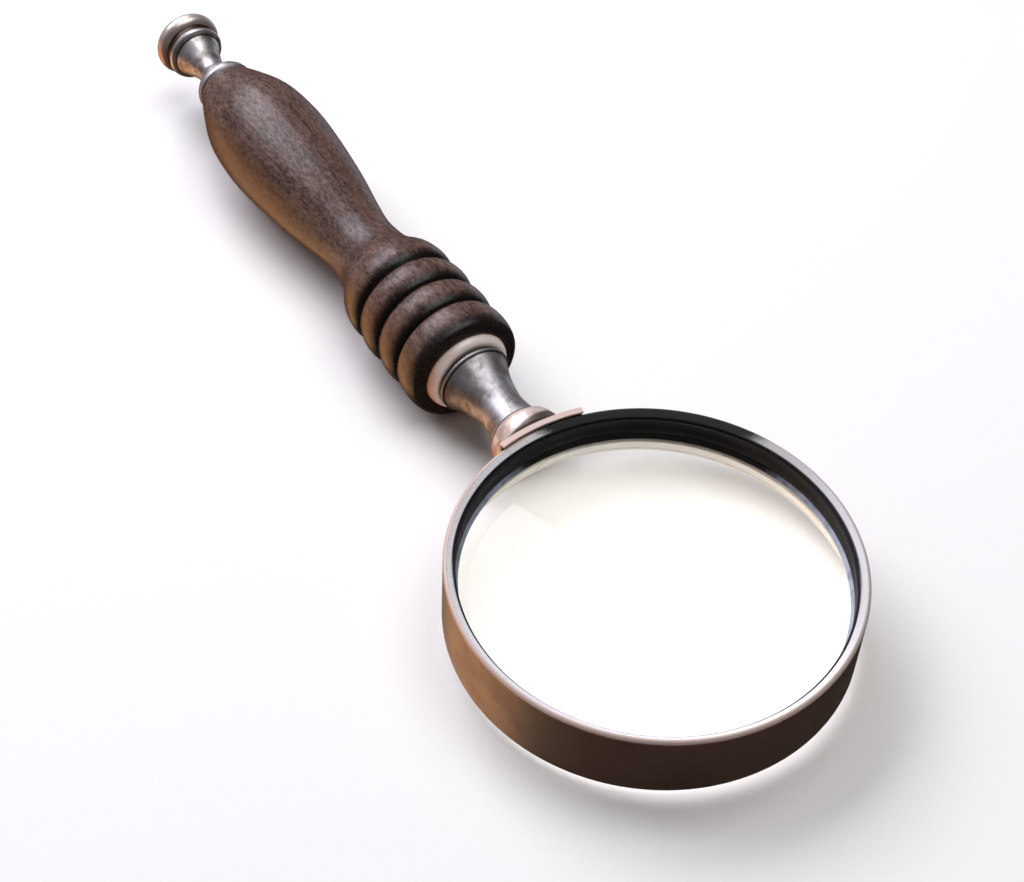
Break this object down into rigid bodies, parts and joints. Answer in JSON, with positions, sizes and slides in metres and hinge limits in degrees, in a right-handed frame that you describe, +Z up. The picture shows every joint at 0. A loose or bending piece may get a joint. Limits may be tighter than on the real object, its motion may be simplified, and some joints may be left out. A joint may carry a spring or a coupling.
{
  "type": "magnifying glass",
  "caption": "Hand-held magnifying glass with a round lens in an antique copper rim and a turned wooden handle with beads, a metal ferrule and a metal end knob.",
  "frame": {"origin": "middle of the object's footprint, on the table it lies on", "axes": "+Y along the handle towards its end knob, +Z up out of the table, +X to the right seen from the lens end"},
  "size_m": [0.084, 0.2542, 0.0291],
  "materials": {
    "antique_copper": "aged copper plate, worn brighter on edges, satin",
    "pale_copper": "bright rubbed copper, satin",
    "aged_silver": "grey antique copper, smooth satin with dark hollows",
    "black_band": "black oxide, satin",
    "ivory_paint": "ivory white enamel, satin",
    "dark_steel": "turned, blue-grey, satin",
    "gasket": "pale silicone, matt",
    "lens_glass": "polished clear optical glass",
    "steel": "zinc plated",
    "brass": "turned brass",
    "rosewood": "dark rosewood, semi-gloss lacquer"
  },
  "bodies": {
    "root": {"rim_band": "antique_copper", "seat_band": "ivory_paint", "lens_gasket": "gasket", "lens": "lens_glass", "clamp_ring": "dark_steel", "liner_band": "black_band", "saddle_plate": "pale_copper", "rim_screw": "steel", "foot_collar": "pale_copper", "trumpet_ferrule": "aged_silver", "fillet_ring": "aged_silver", "copper_band": "pale_copper", "tie_rod": "steel", "lock_washer": "steel", "lock_nut": "steel", "front_insert": "brass", "wood_handle": "rosewood", "rear_insert": "brass", "finial_stud": "steel", "finial_collar": "aged_silver", "finial_knob": "aged_silver"}
  },
  "joints": []
}
